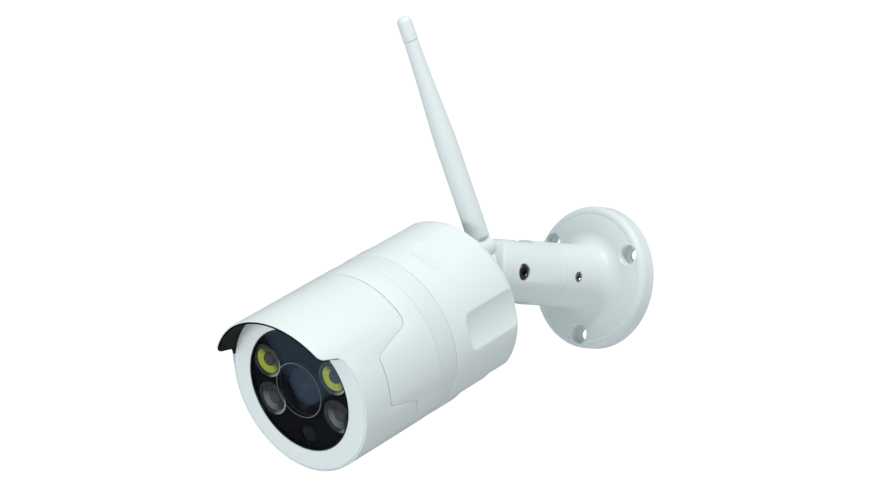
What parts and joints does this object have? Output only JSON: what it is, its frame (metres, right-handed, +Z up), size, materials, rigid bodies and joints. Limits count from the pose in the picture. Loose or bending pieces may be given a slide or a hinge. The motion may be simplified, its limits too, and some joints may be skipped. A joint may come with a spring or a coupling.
{
  "type": "security camera",
  "caption": "Wall-mounted bullet security camera with a sun hood, round lamp and lens window, rod antenna and a swivelling bracket on a round screw-down base.",
  "frame": {"origin": "centre of the wall base back face, on the wall", "axes": "+Y into the wall, the camera stands out along -Y and looks down and forward; +Z up; +X to the right seen from the front"},
  "size_m": [0.0783, 0.2176, 0.1959],
  "materials": {
    "bracket_white": "white powder coat, satin",
    "shell_white": "white moulded shell, satin",
    "bezel_white": "white moulded ring, fine satin",
    "liner_black": "matt black",
    "window_glass": "smoked glass, polished",
    "lamp_lens": "clear moulded lens",
    "lens_glass": "coated lens glass",
    "lens_black": "satin black",
    "sensor_dark": "dark resin",
    "phosphor": "yellow phosphor",
    "chip_clear": "clear resin on dark chip",
    "board_green": "solder mask",
    "metal_plain": "machined",
    "brass": "plated brass",
    "screw_dark": "black oxide",
    "steel": "zinc plated",
    "rubber_black": "matt rubber",
    "gland_black": "black nylon",
    "aerial_white": "white soft-touch moulding"
  },
  "bodies": {
    "bracket": {"wall_base": "bracket_white", "base_set_screw": "screw_dark"},
    "swivel": {"swivel_knuckle": "bracket_white", "pivot_screw": "screw_dark", "pivot_nut": "steel"},
    "tilt_arm": {"body_knuckle": "bracket_white", "stud_washer": "steel", "stud_nut": "steel"},
    "camera": {"neck_seal": "rubber_black", "rear_housing": "shell_white", "mid_band": "shell_white", "housing_seals": "rubber_black", "front_sleeve": "shell_white", "sun_hood": "shell_white", "visor_liner": "liner_black", "bezel_ring": "bezel_white", "front_window": "window_glass", "window_seal": "rubber_black", "lens_ring": "lens_black", "lens_barrel": "lens_black", "lens_front_glass": "lens_glass", "lens_rear_glass": "lens_glass", "lens_holder": "liner_black", "filter_motor": "sensor_dark", "image_sensor": "sensor_dark", "sensor_board": "board_green", "main_board": "board_green", "board_pillars": "brass", "board_screws": "steel", "processor_sink": "metal_plain", "radio_module": "metal_plain", "aerial_lead": "gland_black", "cable_gland": "gland_black", "gland_nut": "gland_black", "aerial_connector": "brass", "connector_nut": "brass", "heat_plate": "metal_plain", "lamp_mask": "liner_black", "lamp_optics": "lamp_lens", "white_chips": "phosphor", "infrared_chips": "chip_clear", "light_sensor": "sensor_dark", "lamp_board": "board_green"},
    "aerial_turn": {"aerial_elbow": "aerial_white", "aerial_pin": "steel"},
    "aerial_arm": {"aerial_rod": "aerial_white", "aerial_cap": "aerial_white", "aerial_radiator": "brass"},
    "filter": {"filter_slide": "liner_black", "filter_glasses": "lens_glass"}
  },
  "joints": [
    {"name": "swivel_turn", "type": "hinge", "parent": "bracket", "child": "swivel", "pos_m": [0, -0.0385, 0], "axis": [0, -1, 0], "continuous": true},
    {"name": "tilt", "type": "hinge", "parent": "swivel", "child": "tilt_arm", "pos_m": [0, -0.068, 0], "axis": [0.9952, 0, -0.0976], "range_deg": [-60, 25]},
    {"name": "camera_roll", "type": "hinge", "parent": "tilt_arm", "child": "camera", "pos_m": [-0.00128, -0.0961, -0.01304], "axis": [-0.0412, -0.9063, -0.4206], "range_deg": [-175, 175]},
    {"name": "aerial_turn", "type": "hinge", "parent": "camera", "child": "aerial_turn", "pos_m": [0.01156, -0.09308, 0.00774], "axis": [0.0412, 0.9063, 0.4206], "range_deg": [-64, 138]},
    {"name": "aerial_fold", "type": "hinge", "parent": "aerial_turn", "child": "aerial_arm", "pos_m": [0.01156, -0.09308, 0.00774], "axis": [0.9979, -0.0588, 0.0289], "range_deg": [-75, 0]},
    {"name": "filter_shift", "type": "slide", "parent": "camera", "child": "filter", "axis": [0.9952, 0, -0.0976], "range_m": [0, 0.0096]}
  ]
}
